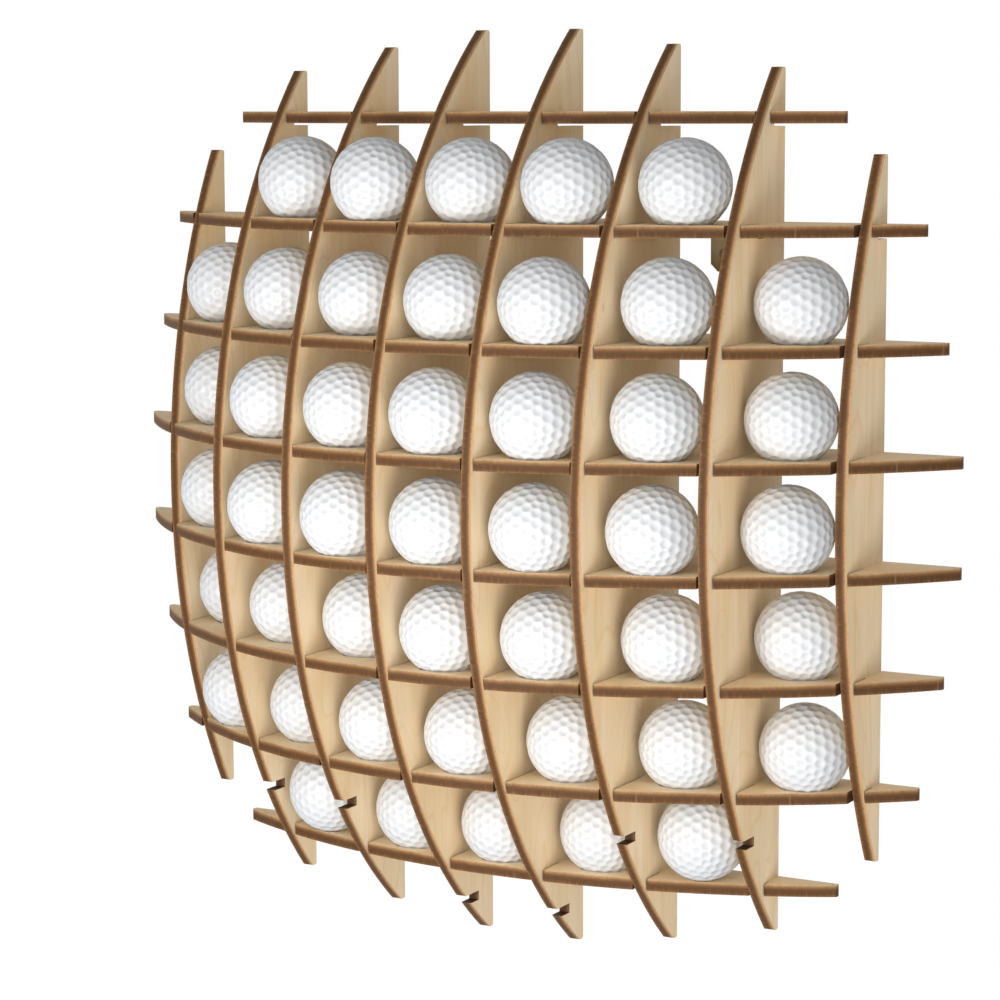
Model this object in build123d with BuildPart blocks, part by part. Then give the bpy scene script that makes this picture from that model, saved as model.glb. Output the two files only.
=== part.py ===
"""Wall-hung golf ball display case: a domed egg-crate lattice of slotted plywood.

Eight uprights and eight shelves are flat plates with a straight back edge and a bowed front
edge. They slide into each other at half-lap slots: an upright's slots open at the back, a
shelf's slots open at the front. Each full cell holds a ball, which sits in a round seat hole
in the shelf below it. Two hanger plates under the second shelf take the wall screws.

Millimetres, +X right, +Z up, the wall at y = 0 and the front towards -Y. The origin is on the
wall, midway between the two hanging holes.
"""

import os
from math import sqrt

from build123d import *

os.makedirs("parts", exist_ok=True)

# Plates: four sizes, counted from the outside of the lattice to its middle. The uprights and
# the shelves are cut to the same four outlines.
ply = 5.5  # plywood thickness

outer_offset = 178.4  # from the lattice's middle to the plate's middle plane
second_offset = 128.3
third_offset = 75.8
centre_offset = 25.1

outer_half_length = 162.0
second_half_length = 201.1
third_half_length = 212.0
centre_half_length = 219.5

outer_depth = 43.8  # from the wall to the front edge, at mid length
second_depth = 80.1
third_depth = 101.2
centre_depth = 109.7

tip_depth = 3.4  # short end face of every plate
tip_radius = 1.2

# Half-lap joints: an upright stands in the middle of its slots in the shelves. A shelf bears on
# the upper wall of its slots in the uprights, with all the play below it.
slot_play = 1.2  # how much wider a slot is than the plate in it
lap_share = 0.57  # share of the upright's depth that its rear slot takes

# Balls and their seats
ball_radius = 21.335
seat_radius = 12.5
seat_clearance = 0.2  # between a ball at rest and its seat's rim
seat_rim = 2.0  # least wood between a seat hole and the shelf's front edge
wall_gap = 0.5  # least gap between a ball and the wall

# From the shelf's front edge to the seat's centre: a line for each row of cells, from the top,
# and a value for each cell, from the left.
seat_setbacks = (
    (16.5, 20.0, 16.0, 21.5, 16.0, 18.0, 14.5),
    (25.5, 25.5, 25.0, 22.0, 14.5, 20.0, 23.5),
    (30.5, 20.5, 19.0, 16.5, 15.5, 18.0, 22.5),
    (26.0, 17.0, 15.0, 16.0, 14.0, 13.5, 19.5),
    (32.0, 26.5, 25.5, 16.0, 16.0, 21.0, 27.0),
    (20.0, 24.0, 18.5, 17.0, 20.5, 20.0, 16.5),
    (16.5, 15.5, 16.5, 16.0, 21.0, 13.0, 16.5),
)

# Medal notches in the front edge of uprights
notch_height = 4.7
notch_depth = 10.2
side_notch_drop = 24.2  # below shelf 7
middle_notch_drop = 22.5  # below shelf 8

# Hanger plates
hanger_spacing = 207.6  # between the two holes
hanger_width = 14.0
hanger_hole_radius = 2.8
hanger_hole_drop = 9.65  # hole's centre below the shelf's underside
hanger_foot = 8.1  # hanger below the hole's centre
hanger_chamfer = 3.5

count = 8  # uprights, and shelves
offsets = (outer_offset, second_offset, third_offset, centre_offset)
half_lengths = (outer_half_length, second_half_length, third_half_length, centre_half_length)
depths = (outer_depth, second_depth, third_depth, centre_depth)

slot_width = ply + slot_play
hanger_shelf = 2
lattice_z = -(second_offset - ply / 2 - hanger_hole_drop)  # the lattice's middle


def size_class(number):
    """0 for the outermost plates to 3 for the two in the middle."""
    return min(number, count + 1 - number) - 1


def upright_x(number):
    """The middle plane of an upright, numbered from the left."""
    offset = offsets[size_class(number)]
    return -offset if number <= count / 2 else offset


def shelf_height(number):
    """The middle plane of a shelf, numbered from the top, above the lattice's middle."""
    return -upright_x(number)


def front(number, along):
    """How far a plate's front edge stands from the wall, at a distance from its mid length."""
    rise = depths[size_class(number)] - tip_depth
    half = half_lengths[size_class(number)]
    radius = (half**2 + rise**2) / (2 * rise)
    return depths[size_class(number)] - radius + sqrt(radius**2 - along**2)


def lap(upright, shelf):
    """Where the two slots of a crossing meet, as a distance from the wall."""
    return lap_share * front(upright, shelf_height(shelf))


def crosses(upright, shelf):
    """Whether two plates are both long enough to cross."""
    reach = slot_width
    longer_shelf = abs(upright_x(upright)) + reach < half_lengths[size_class(shelf)]
    longer_upright = abs(shelf_height(shelf)) + reach < half_lengths[size_class(upright)]
    return longer_shelf and longer_upright


def columns(row):
    """The cells of a row that have four walls: row r lies between shelves r and r + 1."""
    return [
        column
        for column in range(1, count)
        if all(crosses(column + side, row + level) for side in (0, 1) for level in (0, 1))
    ]


def seats(row):
    """The seats of a row of cells: each one's x, distance from the wall and hole radius."""
    found = []
    for column in columns(row):
        x = (upright_x(column) + upright_x(column + 1)) / 2
        edge = front(row + 1, x)
        distance = max(edge - seat_setbacks[row - 1][column - 1], ball_radius + wall_gap)
        found.append((x, distance, min(seat_radius, edge - distance - seat_rim)))
    return found


def plate_blank(number):
    """The uncut plate as a sketch: X along the plate, Y from the wall to the front."""
    half = half_lengths[size_class(number)]
    with BuildSketch() as blank:
        with BuildLine():
            Line((-half, tip_depth), (-half, 0))
            Line((-half, 0), (half, 0))
            Line((half, 0), (half, tip_depth))
            ThreePointArc((half, tip_depth), (0, depths[size_class(number)]), (-half, tip_depth))
        make_face()
        fillet(blank.vertices(), radius=tip_radius)
    return blank.sketch


def notch_height_at(number):
    """The height of an upright's medal notch, or None where it has none."""
    if size_class(number) == 0:
        return None
    if size_class(number) == 3:
        return shelf_height(8) - middle_notch_drop
    return shelf_height(7) - side_notch_drop


# Uprights, left to right
for number in range(1, count + 1):
    left_face = Plane(
        origin=(upright_x(number) - ply / 2, 0, lattice_z),
        x_dir=(0, 0, 1),
        z_dir=(1, 0, 0),
    )
    blank = plate_blank(number)
    with BuildPart() as upright:
        with BuildSketch(left_face):
            add(blank)
            for shelf in range(1, count + 1):
                if crosses(number, shelf):
                    with Locations((shelf_height(shelf) + ply / 2, 0)):
                        Rectangle(
                            slot_width,
                            lap(number, shelf),
                            align=(Align.MAX, Align.MIN),
                            mode=Mode.SUBTRACT,
                        )
            notch = notch_height_at(number)
            if notch is not None:
                with Locations((notch, front(number, notch) - notch_depth)):
                    Rectangle(
                        notch_height,
                        2 * notch_depth,
                        align=(Align.CENTER, Align.MIN),
                        mode=Mode.SUBTRACT,
                    )
        extrude(amount=ply)
    upright.part.label = f"upright_{number}"
    export_step(upright.part, f"parts/upright_{number}.step")

# Shelves, top to bottom, with a seat in each full cell above them
for number in range(1, count + 1):
    top_face = Plane(
        origin=(0, 0, lattice_z + shelf_height(number) + ply / 2),
        x_dir=(1, 0, 0),
        z_dir=(0, 0, -1),
    )
    blank = plate_blank(number)
    with BuildPart() as shelf:
        with BuildSketch(top_face):
            add(blank)
            for crossing in range(1, count + 1):
                if crosses(crossing, number):
                    with Locations((upright_x(crossing), lap(crossing, number))):
                        Rectangle(
                            slot_width,
                            depths[size_class(number)],
                            align=(Align.CENTER, Align.MIN),
                            mode=Mode.SUBTRACT,
                        )
            if number > 1:
                for x, distance, radius in seats(number - 1):
                    with Locations((x, distance)):
                        Circle(radius, mode=Mode.SUBTRACT)
        extrude(amount=ply)
    shelf.part.label = f"shelf_{number}"
    export_step(shelf.part, f"parts/shelf_{number}.step")

# Hanger plates, flat on the wall under the second shelf
for side, x in (("left", -hanger_spacing / 2), ("right", hanger_spacing / 2)):
    with BuildPart() as hanger:
        with BuildSketch(Plane.XZ):
            with Locations((x, hanger_hole_drop)):
                Rectangle(
                    hanger_width,
                    hanger_hole_drop + hanger_foot,
                    align=(Align.CENTER, Align.MAX),
                )
            chamfer(vertices().group_by(Axis.Y)[0], length=hanger_chamfer)
            with Locations((x, 0)):
                Circle(hanger_hole_radius, mode=Mode.SUBTRACT)
        extrude(amount=ply)
    hanger.part.label = f"hanger_{side}"
    export_step(hanger.part, f"parts/hanger_{side}.step")

# Balls, a row to a node: each rests on the rim of its seat
for row in range(1, count):
    shelf_top = lattice_z + shelf_height(row + 1) + ply / 2
    centres = []
    for x, distance, radius in seats(row):
        rise = sqrt(ball_radius**2 - radius**2) + seat_clearance
        centres.append((x, -distance, shelf_top + rise))
    with BuildPart() as balls:
        with Locations(*centres):
            Sphere(ball_radius)
    balls.part.label = f"balls_row_{row}"
    export_step(balls.part, f"parts/balls_row_{row}.step")
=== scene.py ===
"""Looks of the wall-hung golf ball display case.

The plates and hangers keep the solids' own meshes; the plates get a birch plywood finish with
laser-cut edges, the hangers a plainer wood darkened by painted shade. Each ball is a mesh of
its own, with real dimples. Metres, in the part's own frame: +X right, +Z up, the wall at y = 0
and the front towards -Y.
"""

from itertools import combinations
from math import cos, radians, sin, sqrt

import bpy
import numpy as np
from mathutils import Matrix, Vector


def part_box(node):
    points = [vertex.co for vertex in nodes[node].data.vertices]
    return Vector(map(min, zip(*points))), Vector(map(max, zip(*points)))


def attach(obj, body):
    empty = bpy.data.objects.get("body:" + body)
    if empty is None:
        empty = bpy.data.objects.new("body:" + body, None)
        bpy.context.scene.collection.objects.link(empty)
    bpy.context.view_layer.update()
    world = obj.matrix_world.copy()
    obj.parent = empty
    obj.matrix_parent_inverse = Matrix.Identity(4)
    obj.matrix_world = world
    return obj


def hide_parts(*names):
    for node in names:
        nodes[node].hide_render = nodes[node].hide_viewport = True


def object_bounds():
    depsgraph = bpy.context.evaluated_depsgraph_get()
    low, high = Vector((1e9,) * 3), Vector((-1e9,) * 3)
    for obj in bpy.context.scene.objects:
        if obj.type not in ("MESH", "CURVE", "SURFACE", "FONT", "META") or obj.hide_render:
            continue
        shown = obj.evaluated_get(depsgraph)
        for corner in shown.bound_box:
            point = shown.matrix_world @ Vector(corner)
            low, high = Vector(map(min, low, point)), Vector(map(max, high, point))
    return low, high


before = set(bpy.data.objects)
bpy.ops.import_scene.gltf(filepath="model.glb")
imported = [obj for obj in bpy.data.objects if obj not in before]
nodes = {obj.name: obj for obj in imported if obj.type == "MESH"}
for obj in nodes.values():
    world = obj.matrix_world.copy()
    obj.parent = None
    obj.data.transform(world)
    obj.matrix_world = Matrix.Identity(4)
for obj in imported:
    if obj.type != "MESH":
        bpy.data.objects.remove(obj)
cad_low, cad_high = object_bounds()

X, Y, Z = 0, 1, 2

# Plates
PLY = 0.0055  # plywood thickness
TIP = 0.0012  # rounding of a plate's ends
TIP_DEPTH = 0.0034  # depth of a plate's end face
BEHIND_EDGE = 0.001  # from a plate's outline to where its inner walls begin

# Where the laser started and stopped along each shelf's outline, from its middle
LASER_STARTS = {
    2: (0.0892, 0.1530),
    3: (0.2106,),
    4: (0.1981,),
    5: (0.1981,),
    6: (0.2106,),
    7: (0.0892, 0.1530),
}

# Fringes on the cut edges: how wide, and how far to the side where the beam went in
UPRIGHT_BURN = (1.18, 0.02)
SHELF_BURN = (0.96, -0.02)

# Balls
BALL_RADIUS = 0.021335
BALL_TURN = (radians(28.8), radians(-7.7))  # how every ball lies: turned left and up
DIMPLE_RINGS = 5  # dimples along an edge of the icosahedron they are laid out on
DIMPLE_NEIGHBOURS = 5  # how many of the nearest dimples a dimple's spacing is taken from
FACETS_PER_DIMPLE = 6  # mesh edges from one dimple to the next
DIMPLE_REACH = 0.49  # of the distance to the next dimple
DIMPLE_DEPTH = 0.00075

# Camera: where it stands, its turn left, up and anticlockwise, and lens and film in millimetres
CAMERA_PLACE = (0.6790, -1.2673, 0.0722)
CAMERA_TURN = (radians(28.798), radians(-7.66), radians(-0.202))
LENS = 107.98
FILM_WIDTH = 36

# Square lamps: place, side and watts
LAMPS = {
    "key": ((-0.142, -0.727, -0.261), 0.25, 3.53),
    "front": ((0.138, -0.842, -0.046), 0.3, 2.53),
    "side": ((0.641, -0.698, -0.539), 0.5, 3.85),
}

# Light from all round
STUDIO_LEVEL = 0.54  # strength from the sides and from below
STUDIO_ABOVE = 0.36  # strength from above
STUDIO_HIGH = 0.7  # where above begins: a direction's rise, from 0 at level to 1 straight up

# Floor
FLOOR_HALF = 6.0
FLOOR_DROP = 1.2  # below the case
FLOOR_WHITE_SHARE = 0.9  # plain white in what is seen of it; the rest takes light and shadow
FLOOR_WHITE_STRENGTH = 1.09  # makes up for the rest, which is darker


# Finishes


class Value:
    """A socket in a node tree. Python's operators on it add Math nodes."""

    def __init__(self, finish, socket):
        self.finish = finish
        self.socket = socket

    def math(self, operation, *others):
        inputs = dict(enumerate((self, *others)))
        return self.finish.node("ShaderNodeMath", {"operation": operation}, inputs)["Value"]

    def __add__(self, other):
        return self.math("ADD", other)

    __radd__ = __add__

    def __mul__(self, other):
        return self.math("MULTIPLY", other)

    __rmul__ = __mul__

    def __sub__(self, other):
        return self.math("SUBTRACT", other)

    def __rsub__(self, other):
        return (self * -1.0) + other

    def __truediv__(self, other):
        return self.math("DIVIDE", other)

    def __abs__(self):
        return self.math("ABSOLUTE")

    def ramp(self, low, high, start=0.0, end=1.0):
        """start at low and below, end at high and above, smooth between them."""
        settings = {"interpolation_type": "SMOOTHSTEP"}
        inputs = {"Value": self, "From Min": low, "From Max": high, "To Min": start, "To Max": end}
        return self.finish.node("ShaderNodeMapRange", settings, inputs)["Result"]


class Outputs:
    """A node's outputs as values, by name or number."""

    def __init__(self, finish, made):
        self.finish = finish
        self.made = made

    def __getitem__(self, key):
        return Value(self.finish, self.made.outputs[key])


def set_stops(color_ramp, stops):
    """Sets a ramp's (place, colour) stops, with places from 0 to 1."""
    bands = color_ramp.elements
    while len(bands) < len(stops):
        bands.new(1.0)
    for band, (place, shade) in zip(bands, stops):
        band.position = place
        band.color = shade


class Finish:
    """The node tree of a material or of the world, in the making."""

    def __init__(self, owner):
        owner.use_nodes = True
        self.owner = owner
        self.tree = owner.node_tree
        self.tree.nodes.clear()

    def node(self, kind, settings=None, inputs=None):
        """Adds a node: its settings first, then the values or links of its sockets."""
        made = self.tree.nodes.new(kind)
        for name, value in (settings or {}).items():
            if name == "stops":
                set_stops(made.color_ramp, value)
            else:
                setattr(made, name, value)
        for key, value in (inputs or {}).items():
            if isinstance(value, Value):
                self.tree.links.new(value.socket, made.inputs[key])
            else:
                made.inputs[key].default_value = value
        return Outputs(self, made)

    def blend(self, share, first, second):
        """A colour from first, where share is 0, to second, where it is 1."""
        settings = {"data_type": "RGBA", "clamp_factor": True}
        return self.node("ShaderNodeMix", settings, {0: share, 6: first, 7: second})[2]

    def noise(self, place, detail=2.0, roughness=0.5, distortion=0.0):
        inputs = {
            "Vector": place,
            "Scale": 1.0,
            "Detail": detail,
            "Roughness": roughness,
            "Distortion": distortion,
        }
        return self.node("ShaderNodeTexNoise", None, inputs)["Fac"]

    def point(self, x, y, z):
        return self.node("ShaderNodeCombineXYZ", None, {"X": x, "Y": y, "Z": z})["Vector"]

    def scaled(self, vector, scale):
        inputs = {"Vector": vector, "Scale": scale}
        return self.node("ShaderNodeVectorMath", {"operation": "SCALE"}, inputs)["Vector"]

    def split(self, vector):
        parts = self.node("ShaderNodeSeparateXYZ", None, {"Vector": vector})
        return [parts[axis] for axis in "XYZ"]

    def looked_at(self):
        """1 where it is seen, also in a reflection or through glass, and 0 where it lights."""
        path = self.node("ShaderNodeLightPath")
        return path["Is Camera Ray"] + path["Is Glossy Ray"] + path["Is Transmission Ray"]

    def close(self, kind, shader):
        """Ends the tree in its output node."""
        self.node(kind, None, {"Surface": shader})
        return self.owner

    def principled(self, **inputs):
        """Ends a material in a Principled shader. Sockets are named with _ for a space."""
        sockets = {name.replace("_", " "): value for name, value in inputs.items()}
        shader = self.node("ShaderNodeBsdfPrincipled", None, sockets)["BSDF"]
        return self.close("ShaderNodeOutputMaterial", shader)


def new_material(name):
    return Finish(bpy.data.materials.new(name))


def colour(red, green, blue):
    """A linear colour from its 0 to 255 display values."""

    def linear(value):
        share = value / 255
        return share / 12.92 if share <= 0.04045 else ((share + 0.055) / 1.055) ** 2.4

    return (linear(red), linear(green), linear(blue), 1.0)


PALE_BIRCH = colour(247, 227, 195)
WARM_BIRCH = colour(240, 214, 172)
BIRCH_STREAK = colour(220, 190, 150)
GROWTH_LINE = colour(224, 178, 116)
KNOT = colour(150, 112, 76)
# deep char for the edges' dark cut marks, and painted shade on recessed walls
CHAR_AND_RECESS_SHADE = colour(62, 36, 18)
LASER_START = colour(160, 128, 92)
# the hangers' birch, darkened and greyed by painted shade
HANGER_SHADED_BIRCH = colour(182, 171, 140)
HANGER_SHADED_FIGURE = colour(166, 154, 122)
BALL_WHITE = colour(206, 207, 208)
# grey for painted shade in the dimples, and for a faint random haze
SHADE_AND_HAZE_GREY = colour(182, 184, 186)
FLOOR_GREY = (0.86, 0.86, 0.86, 1)
WHITE = (1, 1, 1, 1)

# Across a laser-cut edge, from the side where the beam came out to the side where it went in
CUT_EDGE = (
    (0.00, colour(120, 86, 54)),
    (0.12, colour(96, 65, 38)),
    (0.24, colour(83, 55, 30)),
    (0.50, colour(83, 55, 30)),
    (0.66, colour(103, 71, 42)),
    (0.82, colour(138, 103, 67)),
    (0.95, colour(174, 138, 98)),
)


def plywood(name, plate, across, along, burn, starts=()):
    """Birch plywood for one plate: across and along are the axes of its thickness and grain.

    burn is the width of the lighter fringes on its edges, and how far they lie to one side.
    starts are the places where the laser began or ended its outline, from the plate's middle.
    """
    low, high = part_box(plate)
    middle = (low[across] + high[across]) / 2
    half_length = (high[along] - low[along]) / 2
    bow = high.y - low.y - TIP_DEPTH
    bow_radius = (half_length**2 + bow**2) / (2 * bow)
    seed = sum(map(ord, name)) * 0.37  # each plate's own piece of the noise

    finish = new_material(name)
    coordinates = finish.node("ShaderNodeTexCoord")
    place = finish.split(coordinates["Object"])
    facing = finish.split(coordinates["Normal"])
    depth = (place[across] - middle) / PLY + 0.5  # 0 to 1 through the plate
    length = place[along] - (low[along] + high[along]) / 2
    width = place[Y]

    def spread(across_grain, along_grain, layer=0.0):
        """Where to read a noise with so many features a metre. Layers don't repeat each other."""
        return finish.point(width * across_grain, length * along_grain, seed + layer)

    # Sawn face: soft figure, fine streaks, short pores, clouds, growth lines and small knots
    figure = finish.noise(spread(55, 5), detail=3.0, roughness=0.55, distortion=0.8)
    streaks = finish.noise(spread(800, 12, 3.0), detail=2.0, roughness=0.6)
    pores = finish.noise(spread(2400, 130, 7.0), detail=2.0, roughness=0.7)
    clouds = finish.noise(spread(18, 12, 11.0), detail=3.0, roughness=0.6)
    sweep = finish.noise(spread(24, 7, 31.0), detail=1.0, roughness=0.4, distortion=1.0)
    ring = (sweep * 11.0).math("PINGPONG", 0.5)  # 0 on a growth line
    knots = finish.node(
        "ShaderNodeTexVoronoi", {"feature": "F1"}, {"Vector": spread(26, 13, 23.0), "Scale": 1.0}
    )
    speck = knots["Distance"].ramp(0.012, 0.05, start=1.0, end=0.0)
    face = finish.blend(figure.ramp(0.32, 0.68), PALE_BIRCH, WARM_BIRCH)
    face = finish.blend(clouds.ramp(0.42, 0.72, end=0.45), face, WARM_BIRCH)
    face = finish.blend(streaks.ramp(0.52, 0.80, end=0.26), face, BIRCH_STREAK)
    face = finish.blend(pores.ramp(0.58, 0.80, end=0.28), face, BIRCH_STREAK)
    face = finish.blend(ring.ramp(0.0, 0.09, start=0.24, end=0.0), face, GROWTH_LINE)
    face = finish.blend(speck * 0.6, face, KNOT)

    # Laser-cut edge: burnt dark, with ragged lighter fringes, crossed by fine cut marks
    through = finish.point(width * 800, length * 800, depth * 0.6)
    marks = finish.noise(through, detail=3.0, roughness=0.65)
    drift = finish.noise(spread(60, 60, 19.0), detail=3.0, roughness=0.6)
    fringes, aside = burn
    ragged = (depth - 0.5) * fringes + 0.5 + aside + (marks - 0.5) * 0.34 + (drift - 0.5) * 0.22
    edge = finish.node("ShaderNodeValToRGB", {"stops": CUT_EDGE}, {"Fac": ragged})["Color"]
    edge = finish.blend(marks.ramp(0.26, 0.48, start=0.12, end=0.0), edge, LASER_START)
    edge = finish.blend(marks.ramp(0.50, 0.74, end=0.32), edge, CHAR_AND_RECESS_SHADE)
    for spot in starts:
        near_spot = abs(length - spot).ramp(0.0001, 0.0005, start=0.24, end=0.0)
        edge = finish.blend(near_spot, edge, LASER_START)

    # Walls of slots, seats and notches, set back from the bowed front edge: painted shade, darker
    # than the outer edges
    inside = abs(length).math("LESS_THAN", half_length - 2 * TIP)
    on_wall = abs(facing[along]).math("GREATER_THAN", 0.8)
    beyond = width - (low.y + bow_radius)
    radius = (length * length + beyond * beyond).math("SQRT")
    off_front = radius.math("LESS_THAN", bow_radius - BEHIND_EDGE)
    off_back = width.math("LESS_THAN", -BEHIND_EDGE)
    wall = on_wall.math("MAXIMUM", off_front * off_back) * inside
    # painted shade on the recessed walls
    edge = finish.blend(wall * 0.75, edge, CHAR_AND_RECESS_SHADE)

    is_face = abs(facing[across]).math("GREATER_THAN", 0.5)
    shown = finish.blend(is_face, edge, face)
    relief = streaks * 0.5 + pores * 0.5
    grain = finish.node(
        "ShaderNodeBump", None, {"Strength": 0.15, "Distance": 0.0002, "Height": relief}
    )["Normal"]
    return finish.principled(
        Base_Color=shown,
        Roughness=0.56 + is_face * 0.06 + figure * 0.08,
        Specular_IOR_Level=0.14,
        Normal=grain,
    )


def shaded_hanger_board():
    """The hangers' birch plywood, painted a darker olive brown as painted shade, with its figure.
    """
    finish = new_material("hanger_painted_shade")
    place = finish.split(finish.node("ShaderNodeTexCoord")["Object"])
    figure = finish.noise(finish.point(place[X] * 500, place[Y] * 500, place[Z] * 60))
    shown = finish.blend(figure.ramp(0.35, 0.65), HANGER_SHADED_BIRCH, HANGER_SHADED_FIGURE)
    return finish.principled(Base_Color=shown, Roughness=0.6, Specular_IOR_Level=0.08)


def golf_ball():
    """Glossy white urethane, a touch greyer in the dimples as painted shade, with a faint random
    haze.
    """
    finish = new_material("golf_ball_white")
    hollow = finish.node("ShaderNodeAttribute", {"attribute_name": "hollow"})["Fac"]
    place = finish.node("ShaderNodeTexCoord")["Object"]
    haze = finish.noise(finish.scaled(place, 180.0), detail=3.0, roughness=0.6)
    peel = finish.noise(finish.scaled(place, 2400.0))
    # painted shade: the deeper a point lies in its dimple, the greyer; the haze adds random grey
    # tone
    shown = finish.blend(hollow * 0.45 + haze * 0.15, BALL_WHITE, SHADE_AND_HAZE_GREY)
    texture = finish.node(
        "ShaderNodeBump", None, {"Strength": 0.05, "Distance": 0.00005, "Height": peel}
    )["Normal"]
    return finish.principled(
        Base_Color=shown,
        Roughness=0.34 + haze * 0.08,
        Specular_IOR_Level=0.4,
        Normal=texture,
    )


# Balls


def turn(yaw, pitch, roll=0.0):
    """A turn to the left, up, and anticlockwise as seen from behind."""
    forward = Vector((-sin(yaw) * cos(pitch), cos(yaw) * cos(pitch), sin(pitch)))
    right = Vector((cos(yaw), sin(yaw), 0))
    up = right.cross(forward)
    right, up = right * cos(roll) + up * sin(roll), up * cos(roll) - right * sin(roll)
    return Matrix((right, up, -forward)).transposed()


def icosahedron():
    """Twelve corners and twenty faces."""
    golden = (1 + sqrt(5)) / 2
    corners = []
    for a in (-1, 1):
        for b in (-golden, golden):
            corners += [(0, a, b), (a, b, 0), (b, 0, a)]
    corners = np.array(corners) / sqrt(1 + golden**2)
    edge = min(np.linalg.norm(corners[0] - other) for other in corners[1:])
    near = np.linalg.norm(corners[:, None] - corners[None], axis=2) < edge * 1.1
    faces = []
    for a, b, c in combinations(range(len(corners)), 3):
        if near[a, b] and near[b, c] and near[a, c]:
            normal = np.cross(corners[b] - corners[a], corners[c] - corners[a])
            outward = normal @ corners[a] > 0
            faces.append((a, b, c) if outward else (a, c, b))
    return corners, faces


def geodesic(steps):
    """A sphere's points and triangles: each icosahedron face in steps by steps triangles."""
    corners, faces = icosahedron()
    index = {}
    points = []
    triangles = []

    def point(face, i, j):
        at = corners[face[0]] * (steps - i - j) + corners[face[1]] * i + corners[face[2]] * j
        at = at / np.linalg.norm(at)
        key = tuple(np.round(at, 6) + 0.0)  # + 0.0 makes one key of -0.0 and 0.0
        if key not in index:
            index[key] = len(points)
            points.append(at)
        return index[key]

    for face in faces:
        for i in range(steps):
            for j in range(steps - i):
                a = point(face, i, j)
                b = point(face, i + 1, j)
                c = point(face, i, j + 1)
                triangles.append((a, b, c))
                if i + j < steps - 1:
                    triangles.append((b, point(face, i + 1, j + 1), c))
    return np.array(points), triangles


def dimpled_ball():
    """A ball's mesh about its own centre, with how deep each point lies in its dimple."""
    dimples, _ = geodesic(DIMPLE_RINGS)
    between = np.arccos(np.clip(dimples @ dimples.T, -1, 1))
    np.fill_diagonal(between, np.inf)
    spacing = np.sort(between, axis=1)[:, :DIMPLE_NEIGHBOURS].mean(axis=1)
    points, triangles = geodesic(DIMPLE_RINGS * FACETS_PER_DIMPLE)
    apart = np.arccos(np.clip(points @ dimples.T, -1, 1))
    nearest = apart.argmin(axis=1)
    share = apart[np.arange(len(points)), nearest] / (spacing[nearest] * DIMPLE_REACH)
    hollow = np.clip(1 - share**2, 0, 1)
    radius = BALL_RADIUS - DIMPLE_DEPTH * hollow
    points = points @ np.array(turn(*BALL_TURN)).T
    mesh = bpy.data.meshes.new("dimpled_ball")
    mesh.from_pydata((points * radius[:, None]).tolist(), [], triangles)
    mesh.attributes.new("hollow", "FLOAT", "POINT").data.foreach_set(
        "value", hollow.astype(np.float32)
    )
    mesh.shade_smooth()
    return mesh


def ball_centres(row):
    """The centre of each ball of a row, read from the row's solids."""
    points = np.array([v.co for v in nodes[f"balls_row_{row}"].data.vertices])
    points = points[np.argsort(points[:, 0])]
    gaps = np.nonzero(np.diff(points[:, 0]) > PLY / 2)[0] + 1
    return [(group.min(axis=0) + group.max(axis=0)) / 2 for group in np.split(points, gaps)]


# Camera, light and floor


def add_camera():
    data = bpy.data.cameras.new("camera")
    data.sensor_width = FILM_WIDTH
    data.lens = LENS
    camera = bpy.data.objects.new("camera", data)
    bpy.context.scene.collection.objects.link(camera)
    camera.matrix_world = Matrix.Translation(CAMERA_PLACE) @ turn(*CAMERA_TURN).to_4x4()
    bpy.context.scene.camera = camera


def add_softbox(name, place, size, power):
    """A square lamp that faces the middle of the case."""
    data = bpy.data.lights.new(name, "AREA")
    data.size = size
    data.energy = power
    lamp = bpy.data.objects.new(name, data)
    bpy.context.scene.collection.objects.link(lamp)
    lamp.visible_camera = False
    lamp.location = place
    towards_case = (cad_low + cad_high) / 2 - Vector(place)
    lamp.rotation_euler = towards_case.to_track_quat("-Z", "Y").to_euler()


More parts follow.
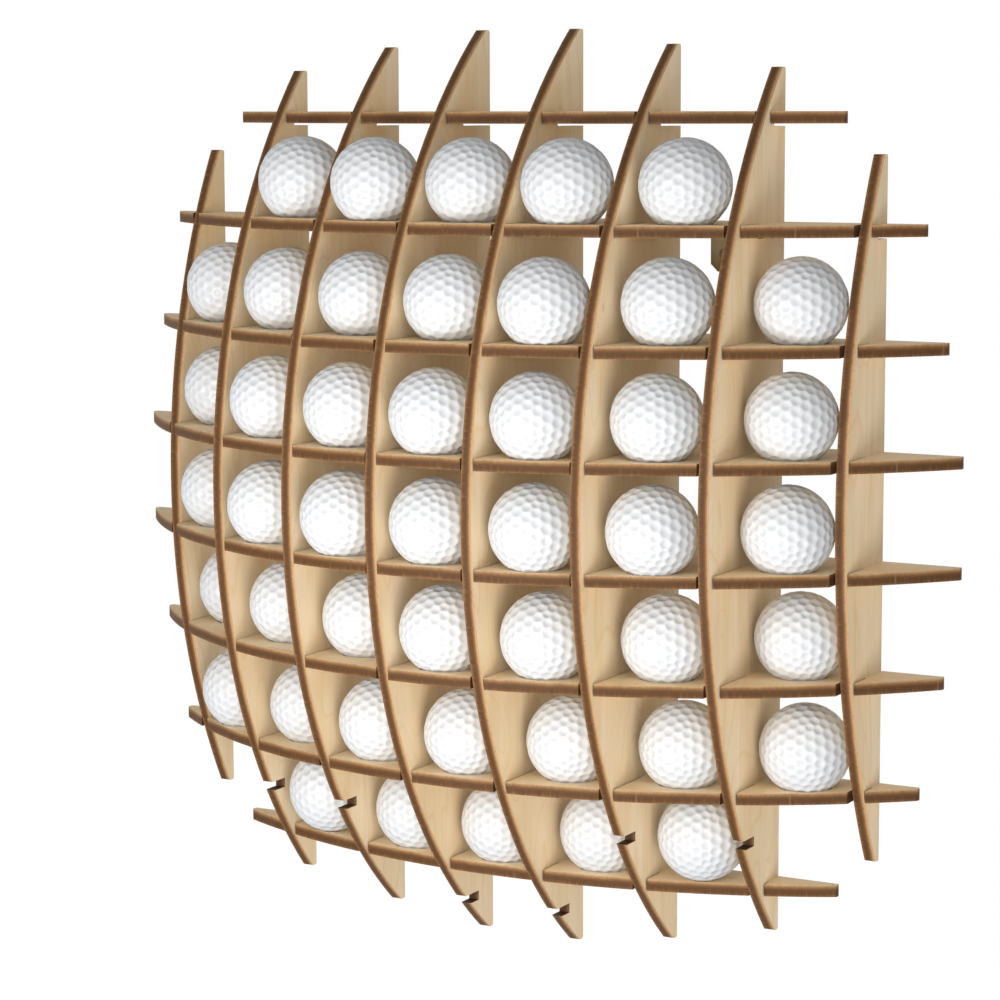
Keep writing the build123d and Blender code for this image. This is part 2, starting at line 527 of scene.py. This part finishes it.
def add_studio():
    """Light all round, dimmer from above, that is seen as plain white."""
    studio = Finish(bpy.data.worlds.new("studio"))
    height = studio.split(studio.node("ShaderNodeTexCoord")["Generated"])[Z]
    seen = studio.looked_at()
    glow = height.ramp(0.0, STUDIO_HIGH, start=STUDIO_LEVEL, end=STUDIO_ABOVE)
    strength = seen.ramp(0.0, 1.0, start=glow, end=1.0)
    background = studio.node(
        "ShaderNodeBackground", None, {"Color": WHITE, "Strength": strength}
    )["Background"]
    bpy.context.scene.world = studio.close("ShaderNodeOutputWorld", background)


def add_floor():
    """A white floor, well below the case, that melts into the white round it."""
    half = FLOOR_HALF
    height = cad_low.z - FLOOR_DROP
    mesh = bpy.data.meshes.new("floor")
    corners = [(-half, -half), (half, -half), (half, half), (-half, half)]
    mesh.from_pydata([(x, y, height) for x, y in corners], [], [(0, 1, 2, 3)])
    floor = bpy.data.objects.new("floor", mesh)
    bpy.context.scene.collection.objects.link(floor)
    finish = new_material("floor_white")
    shaded = finish.node("ShaderNodeBsdfDiffuse", None, {"Color": FLOOR_GREY})["BSDF"]
    white = finish.node(
        "ShaderNodeEmission", None, {"Color": WHITE, "Strength": FLOOR_WHITE_STRENGTH}
    )["Emission"]
    share = finish.looked_at() * FLOOR_WHITE_SHARE
    mixed = finish.node("ShaderNodeMixShader", None, {0: share, 1: shaded, 2: white})
    mesh.materials.append(finish.close("ShaderNodeOutputMaterial", mixed["Shader"]))


# The case


def dress(node, material):
    """Gives a node of the part its finish."""
    data = nodes[node].data
    data.materials.clear()
    data.materials.append(material)


for number in range(1, 9):
    upright, shelf = f"upright_{number}", f"shelf_{number}"
    dress(upright, plywood(f"birch_{upright}", upright, X, Z, UPRIGHT_BURN))
    starts = LASER_STARTS.get(number, ())
    dress(shelf, plywood(f"birch_{shelf}", shelf, Z, X, SHELF_BURN, starts))
for side in ("left", "right"):
    dress(f"hanger_{side}", shaded_hanger_board())

ball_mesh = dimpled_ball()
ball_mesh.materials.append(golf_ball())
for row in range(1, 8):
    for place, centre in enumerate(ball_centres(row), start=1):
        ball = bpy.data.objects.new(f"ball_{row}_{place}", ball_mesh)
        bpy.context.scene.collection.objects.link(ball)
        ball.location = centre
        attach(ball, f"row_{row}")
        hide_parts(f"balls_row_{row}")

add_camera()
for name, (place, size, power) in LAMPS.items():
    add_softbox(name, place, size, power)
add_studio()
add_floor()
bpy.context.scene.view_settings.view_transform = "Standard"
